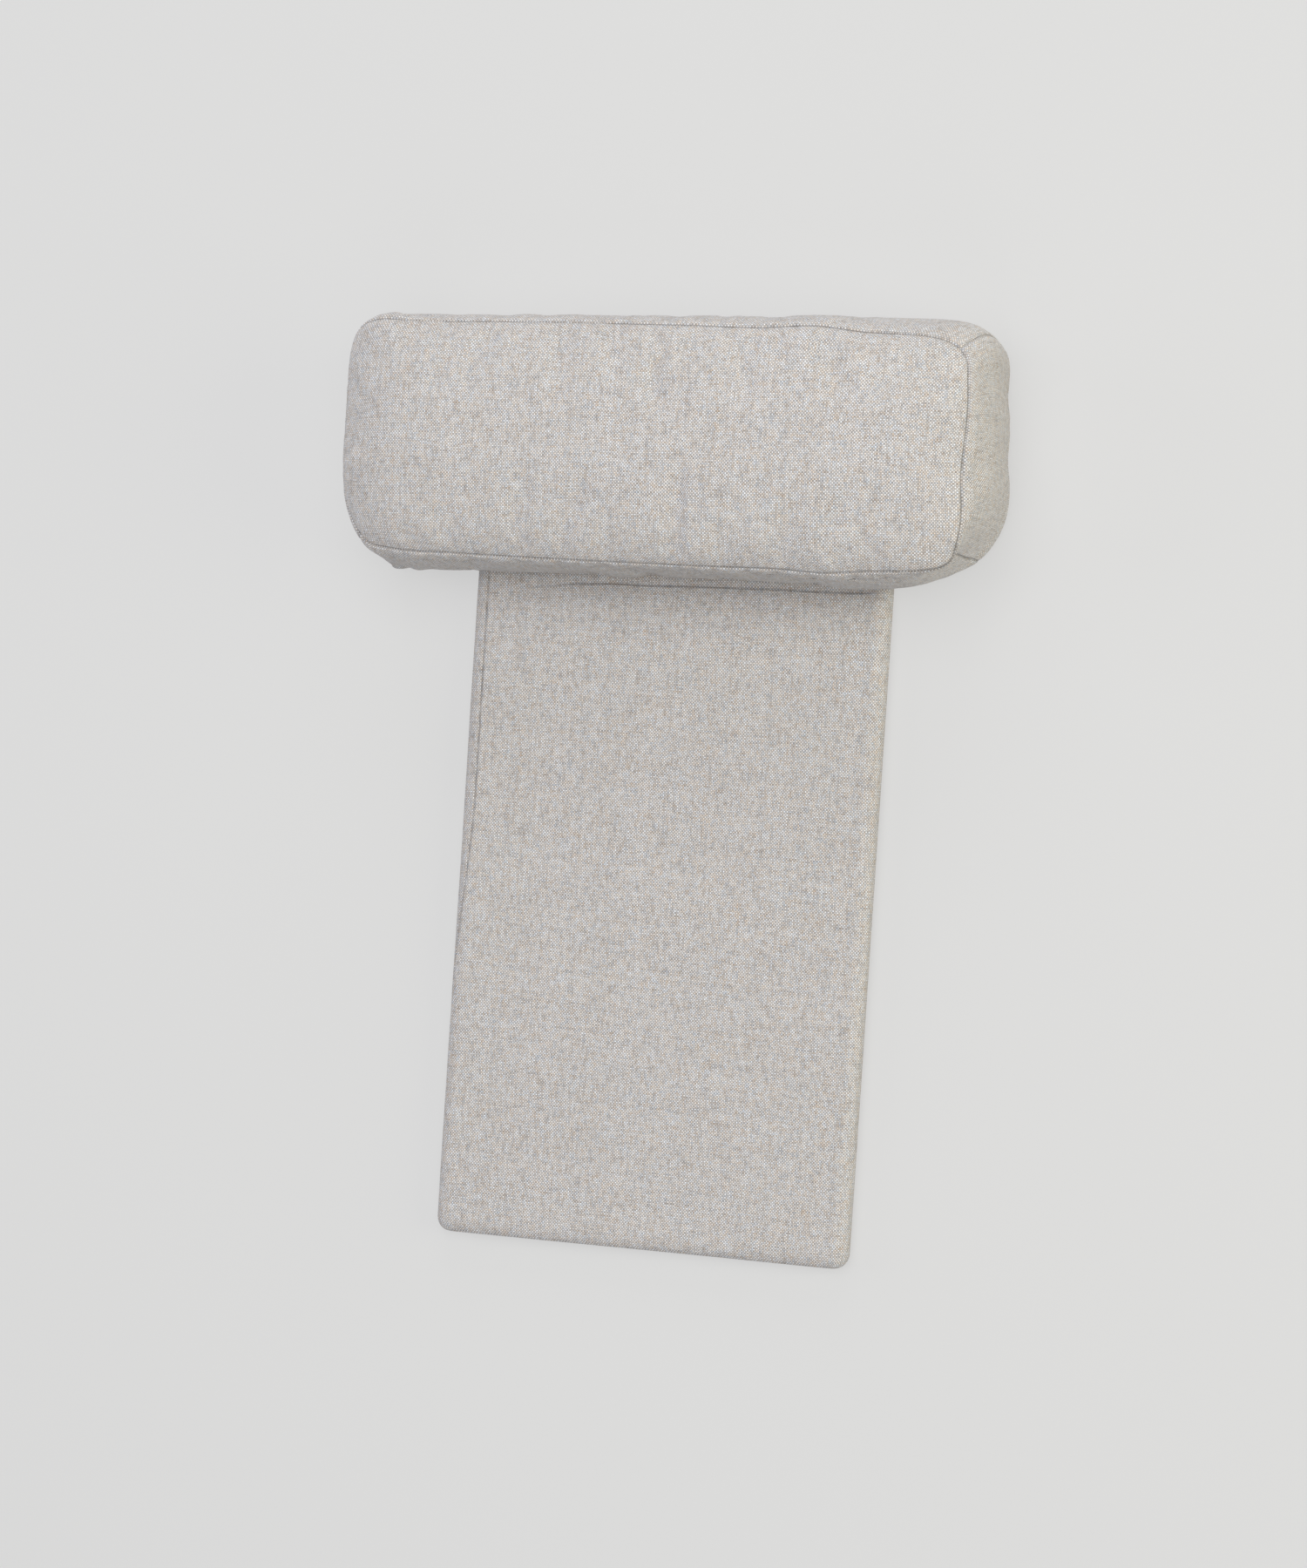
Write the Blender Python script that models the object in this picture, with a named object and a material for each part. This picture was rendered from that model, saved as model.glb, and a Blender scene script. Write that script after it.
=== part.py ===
"""Headrest pillow for a sofa: a stuffed box cushion on a flat padded flap.

The flap slides down behind the sofa's back cushion and holds the headrest at its top edge.
The part lies on its back: the face looks up (+Z), the flap's free end is at -Y, the cushion at +Y.
The origin is under the middle of the whole part, on the surface that it lies on. Units are metres.
"""
import bpy
import numpy as np

MM = 0.001

# Driving dimensions
OVERALL_LENGTH = 643 * MM
CUSHION_WIDTH = 454 * MM
CUSHION_HEIGHT = 175 * MM
CUSHION_DEPTH = 125 * MM
FLAP_WIDTH = 300 * MM
FLAP_THICKNESS = 20 * MM
GAP = 0.3 * MM

# The filling is uneven, as on the real one: the cushion's right end sits a little higher on the
# flap, its left end is a little fatter, and the flap hangs a little off its middle
HINGE_SLOPE = 0.010
HIGHEST_RISE = 0.8 * MM
CUSHION_TAPER = 0.045
FLAP_OFFSET = -1.3 * MM

# How full the cushion is: 2 would be an ellipse, and a high number a sharp box
FRONT_FULLNESS = 3.6
BACK_FULLNESS = 2.6
BACK_ROUNDING = 30 * MM

# Each corner of the face: its fullness, and how far the seam of the front panel lies inside
# the cushion's outline, along the long side and at the end
CORNERS = {
    ("top", "right"): (4.7, 12 * MM, 17 * MM),
    ("top", "left"): (5.6, 6 * MM, 3 * MM),
    ("bottom", "right"): (2.9, 9 * MM, 17 * MM),
    ("bottom", "left"): (3.5, 10 * MM, 3 * MM),
}
BACK_SEAM_HEIGHT = 14 * MM
SEAM_GROOVE = 1.6 * MM
SEAM_LIP = 4 * MM

# The flap's padded edge, and the crease where it bends towards the cushion
FLAP_EDGE_ROUNDING = 12 * MM
FLAP_EDGE_FULLNESS = 2.3
CREASE_BELOW_CUSHION = 8 * MM
CREASE_DEPTH = 3 * MM
CREASE_HALF_WIDTH = 7 * MM
CREASE_FADE = 30 * MM

# Mesh fineness: steps across each stretch
CORNER_STEPS = 12
STRAIGHT_STEPS = 18
FRONT_STEPS = 9
SIDE_STEPS = 5
BACK_STEPS = 2
FLAP_ROUND_STEPS = 6
FLAP_ACROSS_STEPS = 20

# Places that follow from them
CUSHION_END = CUSHION_HEIGHT / 2
CUSHION_STRAIGHT = CUSHION_WIDTH / 2 - CUSHION_END
CUSHION_CENTRE_Y = OVERALL_LENGTH / 2 - CUSHION_HEIGHT / 2 - HIGHEST_RISE
CUSHION_LOWEST_Y = CUSHION_CENTRE_Y - CUSHION_HEIGHT / 2
HALF_DEPTH = CUSHION_DEPTH / 2
FLAP_FREE_END_Y = -OVERALL_LENGTH / 2

FABRIC_COLOUR = (0.50, 0.47, 0.45, 1.0)
FABRIC_ROUGHNESS = 0.95


def clear_scene():
    """Remove every object, so that the part is alone in the scene."""
    for thing in list(bpy.data.objects):
        bpy.data.objects.remove(thing, do_unlink=True)


def fabric(name):
    """Woven upholstery cloth as a plain Principled material."""
    material = bpy.data.materials.new(name)
    material.use_nodes = True
    shader = material.node_tree.nodes["Principled BSDF"]
    shader.inputs["Base Color"].default_value = FABRIC_COLOUR
    shader.inputs["Roughness"].default_value = FABRIC_ROUGHNESS
    shader.inputs["Metallic"].default_value = 0.0
    return material


def add_piece(name, points, faces):
    """Make one closed, smooth-shaded object; points that fall together are merged."""
    mesh = bpy.data.meshes.new(name)
    mesh.from_pydata(points.tolist(), [], faces)
    piece = bpy.data.objects.new(name, mesh)
    bpy.context.collection.objects.link(piece)
    weld = piece.modifiers.new("close the ends", "WELD")
    weld.merge_threshold = 0.02 * MM
    mesh.shade_smooth()
    mesh.materials.append(fabric(name + " fabric"))
    return piece


def bridge(rows, columns):
    """Quads between neighbouring closed rows of points; the rows run from bottom to top."""
    faces = []
    for row in range(rows - 1):
        for column in range(columns):
            after = (column + 1) % columns
            low = row * columns
            high = low + columns
            faces.append((low + column, low + after, high + after, high + column))
    return faces


def power(value, exponent):
    """A signed power, which keeps the sign of the value."""
    return np.sign(value) * np.abs(value) ** exponent


def corner_arc(long_side, end):
    """One corner of the outline, from its end to its long side.

    Columns: core x, across, along, whether it lies on the corner's seam, and the front seam's
    inset. Across and along point to a superellipse, |across|^n + |along|^n = 1.
    """
    fullness, inset_long, inset_end = CORNERS[long_side, end]
    turn = np.linspace(0, np.pi / 2, CORNER_STEPS + 1)
    across = np.clip(np.cos(turn), 0, 1) ** (2 / fullness)
    along = np.sin(turn) ** (2 / fullness)
    inset = inset_end * across ** fullness + inset_long * along ** fullness
    right = 1 if end == "right" else -1
    up = 1 if long_side == "top" else -1
    core = np.full(turn.size, right * CUSHION_STRAIGHT)
    return np.column_stack([core, right * across, up * along, np.isclose(across, along), inset])


def straight_run(long_side, start, end):
    """The outline between two corners of a long side, in the same columns."""
    share = np.linspace(0, 1, STRAIGHT_STEPS + 1)[1:-1, None]
    first = corner_arc(long_side, start)[-1]
    last = corner_arc(long_side, end)[-1]
    return first + (last - first) * share


def cushion_loop():
    """The outline of the cushion, counterclockwise seen from above."""
    return np.concatenate([
        corner_arc("bottom", "right")[::-1],
        corner_arc("top", "right")[1:],
        straight_run("top", "right", "left"),
        corner_arc("top", "left")[::-1],
        corner_arc("bottom", "left")[1:],
        straight_run("bottom", "left", "right"),
    ])


def front_profile():
    """Share of the way out, and height, from the middle of the crown to the widest line."""
    turn = np.linspace(0, np.pi / 2, 400)
    out = np.sin(turn) ** (2 / FRONT_FULLNESS)
    height = np.cos(turn) ** (2 / FRONT_FULLNESS)
    height[-1] = 0
    return out, HALF_DEPTH * (1 + height)


def back_profile():
    """The same from the widest line round to the flat back, which lies on the surface."""
    turn = np.linspace(0, np.pi / 2, 200)
    flat = 1 - BACK_ROUNDING / CUSHION_END
    cosine = np.clip(np.cos(turn), 0, 1)
    out = flat + (1 - flat) * cosine ** (2 / BACK_FULLNESS)
    height = np.sin(turn) ** (2 / BACK_FULLNESS)
    return out, HALF_DEPTH * (1 - height)


def stations(length, seams, counts):
    """Distances along a profile: even steps between the seams, with a lip on each side of a seam."""
    edges = [0.0]
    for seam in seams:
        edges += [seam - SEAM_LIP, seam, seam + SEAM_LIP]
    edges.append(length)
    places = [0.0]
    for start, end, count in zip(edges[:-1], edges[1:], counts):
        places += list(start + (end - start) * np.arange(1, count + 1) / count)
    return np.array(places)


def build_cushion():
    """One filled solid: crowned front, round sides with sewn grooves, and a flat back."""
    out_front, height_front = front_profile()
    out_back, height_back = back_profile()
    out = np.concatenate([out_front, out_back[1:]])
    height = np.concatenate([height_front, height_back[1:]])
    travelled = np.concatenate([[0], np.cumsum(np.hypot(np.diff(out * CUSHION_END), np.diff(height)))])
    back_seam = np.interp(-BACK_SEAM_HEIGHT, -height_back[1:], travelled[out_front.size:])
    counts = [FRONT_STEPS, 1, 1, SIDE_STEPS, 1, 1, BACK_STEPS]
    front_row = FRONT_STEPS + 1
    back_row = FRONT_STEPS + SIDE_STEPS + 4
    sewn_loop = np.zeros(sum(counts) + 1)
    sewn_loop[[front_row, back_row]] = 1
    sewn_corner = np.zeros(sum(counts) + 1)
    sewn_corner[front_row:back_row + 1] = 1
    rings = []
    for core, across, along, corner, inset in cushion_loop():
        front_seam = np.interp(1 - inset / CUSHION_END, out_front, travelled[:out_front.size])
        place = stations(travelled[-1], (front_seam, back_seam), counts)
        reach = np.interp(place, travelled, out) * CUSHION_END
        rise = np.interp(place, travelled, height)
        fullness = 1 - (sewn_corner if corner else sewn_loop) * SEAM_GROOVE / CUSHION_END
        x = core + across * reach * fullness
        y = along * reach * fullness * (1 - CUSHION_TAPER * x) + HINGE_SLOPE * x
        z = HALF_DEPTH + (rise - HALF_DEPTH) * fullness
        rings.append(np.column_stack([x, CUSHION_CENTRE_Y + y, z]))
    points = np.array(rings)[:, ::-1].transpose(1, 0, 2)
    rows, columns = points.shape[:2]
    faces = bridge(rows, columns)
    faces.append(tuple(reversed(range(columns))))
    return add_piece("cushion", points.reshape(-1, 3), faces)


def cushion_edge(height):
    """How far inside its lowest line the cushion's round lower side lies at a given height."""
    out, rise = back_profile()
    return CUSHION_END * (1 - np.interp(height, rise[::-1], out[::-1]))


def hinge_line(x):
    """The cushion's lowest line across the flap, from its lowest line at the middle."""
    return CUSHION_END * CUSHION_TAPER * x + HINGE_SLOPE * x


def flap_top_end():
    """The furthest that the flap's round end can reach under the cushion and keep the gap."""
    turn = np.linspace(-np.pi / 2, np.pi / 2, 60)
    height = FLAP_THICKNESS / 2 * (1 + power(np.sin(turn), 2 / FLAP_EDGE_FULLNESS))
    nose = FLAP_EDGE_ROUNDING * (1 - np.abs(np.cos(turn)) ** (2 / FLAP_EDGE_FULLNESS))
    return CUSHION_LOWEST_Y + np.min(cushion_edge(height) + nose) - 2 * GAP


def flap_rows():
    """Rows along the flap: place, share of the edge rounding that is left, and crease depth."""
    top = flap_top_end()
    turn = np.linspace(0, np.pi / 2, FLAP_ROUND_STEPS + 1)
    rise = np.sin(turn) ** (2 / FLAP_EDGE_FULLNESS)
    start = FLAP_FREE_END_Y + FLAP_EDGE_ROUNDING * (1 - np.clip(np.cos(turn), 0, 1) ** (2 / FLAP_EDGE_FULLNESS))
    end = top - (start - FLAP_FREE_END_Y)[::-1]
    crease = CUSHION_LOWEST_Y - CREASE_BELOW_CUSHION + CREASE_HALF_WIDTH * np.linspace(-1, 1, 7)
    crease = crease[crease < end[0] - 1 * MM]
    along = np.concatenate([start, crease, end])
    share = np.concatenate([rise, np.ones(crease.size), rise[::-1]])
    middle = CUSHION_LOWEST_Y - CREASE_BELOW_CUSHION
    trough = np.clip(1 - np.abs(along - middle) / CREASE_HALF_WIDTH, 0, 1)
    return along, share, CREASE_DEPTH * trough ** 2 * (3 - 2 * trough)


def build_flap():
    """One filled slab: flat front and back, padded round edges, and a crease below the cushion."""
    turn = np.linspace(-np.pi / 2, np.pi / 2, 2 * FLAP_ROUND_STEPS + 1)
    across = np.clip(np.cos(turn), 0, 1) ** (2 / FLAP_EDGE_FULLNESS)
    above = power(np.sin(turn), 2 / FLAP_EDGE_FULLNESS)
    straight = FLAP_WIDTH / 2 - FLAP_EDGE_ROUNDING
    tilted = CUSHION_LOWEST_Y - 2 * CREASE_BELOW_CUSHION
    run = np.linspace(straight, -straight, FLAP_ACROSS_STEPS + 1)[1:-1]
    core = np.concatenate([np.full(turn.size, straight), run, np.full(turn.size, -straight), -run])
    across = np.concatenate([across, 0 * run, -across[::-1], 0 * run])
    above = np.concatenate([above, 0 * run + 1, above[::-1], 0 * run - 1])
    fade = np.clip((straight - np.abs(core)) / CREASE_FADE, 0, 1) * (above > 0.99)
    half = FLAP_THICKNESS / 2
    rows = []
    for along, share, crease in zip(*flap_rows()):
        x = FLAP_OFFSET + core + FLAP_EDGE_ROUNDING * across * share
        y = along + hinge_line(x) * (along > tilted)
        z = half * (1 + above * share) - crease * fade
        rows.append(np.column_stack([x, y, z]))
    points = np.array(rows)
    faces = [tuple(reversed(face)) for face in bridge(*points.shape[:2])]
    return add_piece("flap", points.reshape(-1, 3), faces)


clear_scene()
build_cushion()
build_flap()
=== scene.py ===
# %% [markdown]
# A sofa headrest pillow, step by step.
# The real object is a stuffed box cushion sewn to the top of a long, flat, padded flap. The flap
# slides down behind a sofa's back cushion, and its length holds the headrest at the sofa's top.
# Both are covered in one heathered, light warm-grey, plain-weave upholstery cloth.
# It lies here on its back: the face looks up (+Z) and the cushion is at +Y. Units are metres.

# %% Load the frame
import bmesh
import bpy
import numpy as np
from mathutils import Matrix, Vector


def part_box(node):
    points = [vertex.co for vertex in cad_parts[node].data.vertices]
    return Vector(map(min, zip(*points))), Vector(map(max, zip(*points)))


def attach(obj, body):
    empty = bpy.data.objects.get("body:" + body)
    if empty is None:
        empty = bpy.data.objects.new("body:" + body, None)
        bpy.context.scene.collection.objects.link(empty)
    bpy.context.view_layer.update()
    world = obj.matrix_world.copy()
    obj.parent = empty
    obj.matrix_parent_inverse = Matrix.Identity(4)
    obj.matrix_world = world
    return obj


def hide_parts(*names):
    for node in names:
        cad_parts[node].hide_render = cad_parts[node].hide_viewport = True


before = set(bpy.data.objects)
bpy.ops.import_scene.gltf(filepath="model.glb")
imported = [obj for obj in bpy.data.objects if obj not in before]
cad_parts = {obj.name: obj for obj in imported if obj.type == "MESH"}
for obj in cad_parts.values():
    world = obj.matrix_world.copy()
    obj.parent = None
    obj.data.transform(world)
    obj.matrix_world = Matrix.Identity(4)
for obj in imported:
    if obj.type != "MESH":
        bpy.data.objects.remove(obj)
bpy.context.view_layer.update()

MM = 0.001

# %% [markdown]
# The camera. The photo shows the face from a little to its right, with a long lens. A camera is
# a place, a point that it looks at and a roll; these came from the flap's straight edges, whose
# lines meet far away at two points. The focal length is counted in the photo's own pixels, so
# that the picture's frame and the lens agree whatever size is rendered.

# %% Camera
PHOTO_HEIGHT_PX = 1800
FOCAL_LENGTH_PX = 3200
SENSOR_MM = 36
CAMERA_AT = Vector((0.5458, 0.0419, 1.8737))
CAMERA_LOOKS_AT = Vector((-0.0126, 0.0037, 0.010))
CAMERA_ROLL = np.radians(3.895)

camera_data = bpy.data.cameras.new("camera")
camera_data.sensor_width = SENSOR_MM
camera_data.lens = FOCAL_LENGTH_PX * SENSOR_MM / PHOTO_HEIGHT_PX
camera = bpy.data.objects.new("camera", camera_data)
bpy.context.collection.objects.link(camera)
back = (CAMERA_AT - CAMERA_LOOKS_AT).normalized()
right = Vector((-np.sin(CAMERA_ROLL), np.cos(CAMERA_ROLL), 0)).cross(back).normalized()
up = back.cross(right)
camera.matrix_world = Matrix.Translation(CAMERA_AT) @ Matrix((right, up, back)).transposed().to_4x4()
bpy.context.scene.camera = camera
print("lens in mm:", camera_data.lens)

# %% [markdown]
# Colours are written as sRGB hex values, as a colour picker gives them, and Blender's shaders
# want them linear. One function turns them. Another adds a node with its settings and links, so
# that a material reads as a list of what feeds what.

# %% Colour and node helpers
def linear(colour):
    """Turn "#rrggbb" into linear red, green, blue and alpha: c/12.92, or ((c+0.055)/1.055)^2.4."""
    parts = np.array([int(colour[place:place + 2], 16) / 255 for place in (1, 3, 5)])
    curve = np.where(parts <= 0.04045, parts / 12.92, ((parts + 0.055) / 1.055) ** 2.4)
    return (*curve.tolist(), 1.0)


def add_node(tree, kind, links=(), **settings):
    """Add one node: settings are its properties, and links pairs an input with a value or socket."""
    node = tree.nodes.new(kind)
    for name, value in settings.items():
        setattr(node, name, value)
    for socket, value in dict(links).items():
        if isinstance(value, bpy.types.NodeSocket):
            tree.links.new(value, node.inputs[socket])
        else:
            node.inputs[socket].default_value = value
    return node


def new_material(name):
    """A material with an empty node tree, its Principled shader and its output."""
    material = bpy.data.materials.new(name)
    material.use_nodes = True
    tree = material.node_tree
    tree.nodes.clear()
    shader = add_node(tree, "ShaderNodeBsdfPrincipled")
    add_node(tree, "ShaderNodeOutputMaterial", {"Surface": shader.outputs["BSDF"]})
    return material, tree, shader


# %% [markdown]
# The floor and the light. The object stands in near shadowless studio light: a pale opal table,
# lit faintly from below, keeps the shadows on it almost white. Over it hangs a very large softbox.
# Smaller ones stand low round it, the strongest past the cushion's top edge, so that its lower
# edge and the cloth under it fall off into soft shade, and the one at the right is a little warm.

# %% Floor
FLOOR_SIZE = 12.0
TABLE_COLOUR = "#787878"
TABLE_GLOW = "#ffffff"
TABLE_GLOW_STRENGTH = 0.50
floor_material, _, floor_shader = new_material("matt opal acrylic light table")
floor_shader.inputs["Base Color"].default_value = linear(TABLE_COLOUR)
floor_shader.inputs["Emission Color"].default_value = linear(TABLE_GLOW)
floor_shader.inputs["Emission Strength"].default_value = TABLE_GLOW_STRENGTH
floor_shader.inputs["Roughness"].default_value = 0.9
floor_shader.inputs["Specular IOR Level"].default_value = 0.2
corners = np.array([(-1, -1, 0), (1, -1, 0), (1, 1, 0), (-1, 1, 0)]) * FLOOR_SIZE / 2
floor_mesh = bpy.data.meshes.new("floor")
floor_mesh.from_pydata(corners.tolist(), [], [(0, 1, 2, 3)])
floor_mesh.materials.append(floor_material)
floor = bpy.data.objects.new("floor", floor_mesh)
bpy.context.collection.objects.link(floor)

# %% Lights
def softbox(name, place, towards, size, power, colour):
    """A square area light that looks from its place towards a point."""
    data = bpy.data.lights.new(name, "AREA")
    data.shape = "SQUARE"
    data.size = size
    data.energy = power
    data.color = linear(colour)[:3]
    lamp = bpy.data.objects.new(name, data)
    lamp.location = place
    lamp.rotation_euler = (Vector(towards) - Vector(place)).to_track_quat("-Z", "Y").to_euler()
    bpy.context.collection.objects.link(lamp)


# Each has its place, the point that it looks at, its width in metres, its watts and its colour.
softbox("softbox overhead", (0.3, 0.5, 2.8), (0, 0.1, 0), 2.2, 54.5, "#ffffff")
softbox("softbox past the top edge", (0, 2.6, 0.9), (0, 0.1, 0.05), 1.6, 24.0, "#ffffff")
softbox("softbox at the left", (-2.2, 0.3, 1.2), (0, 0.1, 0), 1.6, 13.0, "#ffffff")
softbox("softbox low in front", (0.2, -1.9, 1.6), (0, 0, 0), 1.6, 10.2, "#ffffff")
softbox("warm softbox at the right", (2.2, 0.2, 1.0), (0, 0, 0), 1.6, 25.0, "#fffadc")

# The room itself gives a little even light.
ROOM_COLOUR = "#fbfcff"
ROOM_STRENGTH = 0.18
world = bpy.data.worlds.new("studio")
world.use_nodes = True
room = world.node_tree.nodes["Background"]
room.inputs["Color"].default_value = linear(ROOM_COLOUR)
room.inputs["Strength"].default_value = ROOM_STRENGTH
bpy.context.scene.world = world
bpy.context.scene.view_settings.view_transform = "Standard"

# %% [markdown]
# The cloth. It is a plain weave: each yarn goes over one and under the next. The yarns are
# melange, spun from white, beige, brown and blue-grey fibres, so each yarn drifts between light
# and dark along its length, and that gives the short streaks both ways that the photo shows.
# The pattern reads the piece's own flat map, in millimetres, so the yarns follow each cut panel.
# Every yarn has a number. A noise that reads that number and the place along the yarn colours it.
# An image of cloth would do too, but this one is sharp at any distance and follows each panel.

# %% Yarns
# The threads in the photo are about 0.9 and 1.1 mm apart. They are drawn a little coarser, so
# that the weave still shows where a millimetre is only about one pixel of the picture.
WARP_PITCH_MM = 1.06
WEFT_PITCH_MM = 1.12
YARN_LIGHT = "#dfdcdb"
YARN_MIDDLE = "#d2cecd"
YARN_DARK = "#b6b1af"
YARN_BEIGE = "#c9b096"
YARN_BLUE = "#9eaab8"
YARN_TONE = (0.93, 1.06)
# Where the slow noise turns to dark, middle and light, and how strong the flecks get past a limit.
DARK_AT, MIDDLE_AT, LIGHT_AT = 0.34, 0.46, 0.66
BEIGE_FLECKS = {"From Min": 0.58, "From Max": 0.75, "To Max": 0.40}
BLUE_FLECKS = {"From Min": 0.42, "From Max": 0.28, "To Max": 0.38}
STREAK_MM = 8.0
FLECK_MM = 5.6
# What a noise's place is multiplied by: across the yarns, along a yarn, and between the seeds.
STREAK_STRETCH = (7.31, WEFT_PITCH_MM / STREAK_MM, 1.0)
FLECK_STRETCH = (3.17, WEFT_PITCH_MM / FLECK_MM, 2.3)
WARP_SEED = 3.0
WEFT_SEED = 11.0


def yarn_colour(tree, number, along, seed):
    """Colour of one yarn: light to dark by a noise stretched along it, with beige and blue flecks.

    The number counts the yarns and the place along is counted in crossings.
    """
    place = add_node(tree, "ShaderNodeCombineXYZ", {"X": number, "Y": along, "Z": seed})
    streak = add_node(tree, "ShaderNodeVectorMath", {0: place.outputs[0], 1: STREAK_STRETCH},
                      operation="MULTIPLY")
    slow = add_node(tree, "ShaderNodeTexNoise",
                    {"Vector": streak.outputs[0], "Scale": 1.0, "Detail": 1.0})
    drift = add_node(tree, "ShaderNodeValToRGB", {"Fac": slow.outputs["Fac"]})
    stops = drift.color_ramp.elements
    stops[0].position = DARK_AT
    stops[0].color = linear(YARN_DARK)
    stops[1].position = LIGHT_AT
    stops[1].color = linear(YARN_LIGHT)
    stops.new(MIDDLE_AT).color = linear(YARN_MIDDLE)
    fleck = add_node(tree, "ShaderNodeVectorMath", {0: place.outputs[0], 1: FLECK_STRETCH},
                     operation="MULTIPLY")
    tint = add_node(tree, "ShaderNodeTexNoise",
                    {"Vector": fleck.outputs[0], "Scale": 1.0, "Detail": 0.0})
    beige = add_node(tree, "ShaderNodeMapRange", {"Value": tint.outputs["Fac"], **BEIGE_FLECKS})
    blue = add_node(tree, "ShaderNodeMapRange", {"Value": tint.outputs["Fac"], **BLUE_FLECKS})
    warm = add_node(tree, "ShaderNodeMix",
                    {0: beige.outputs[0], 6: drift.outputs[0], 7: linear(YARN_BEIGE)},
                    data_type="RGBA")
    cool = add_node(tree, "ShaderNodeMix",
                    {0: blue.outputs[0], 6: warm.outputs[2], 7: linear(YARN_BLUE)},
                    data_type="RGBA")
    yarn = add_node(tree, "ShaderNodeCombineXYZ", {"X": number, "Z": seed})
    spun = add_node(tree, "ShaderNodeTexWhiteNoise", {"Vector": yarn.outputs[0]})
    tone = add_node(tree, "ShaderNodeMapRange",
                    {"Value": spun.outputs["Value"], "To Min": YARN_TONE[0], "To Max": YARN_TONE[1]})
    toned = add_node(tree, "ShaderNodeVectorMath", {0: cool.outputs[2], "Scale": tone.outputs[0]},
                     operation="SCALE")
    return toned.outputs[0]


# %% [markdown]
# The weave. Warp and weft take turns on top, like the squares of a chessboard, and the yarn under
# shows through a little. The warp is paler than the weft, which draws the fine crosshatch. The gaps
# between the yarns get painted shade, and a bump of a quarter of a millimetre makes each crossing
# round. Long, slight bends keep the yarns from running dead straight. Seam furrows and creases get
# painted shade from an attribute.

# %% Weave and cloth material
WARP_TONE = 1.20
WEFT_TONE = 0.71
UNDER_SHARE = 0.18
CROSSING_TONE = (0.92, 1.07)
FIBRE_WARM = (1.06, 1.0, 0.93, 1)
FIBRE_COOL = (0.94, 1.0, 1.08, 1)
# Painted shade: in the gaps between yarns, and in seam furrows and creases.
GAP_SHADE = 0.50
SEAM_SHADE = 0.42
BENDS_PER_METRE = 12
BEND_MM = 2.5
YARN_HEIGHT = 0.25 * MM
CLOTH_FINISH = {
    "Roughness": 0.95, "Specular IOR Level": 0.2, "Sheen Weight": 0.12, "Sheen Roughness": 0.5,
}


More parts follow.
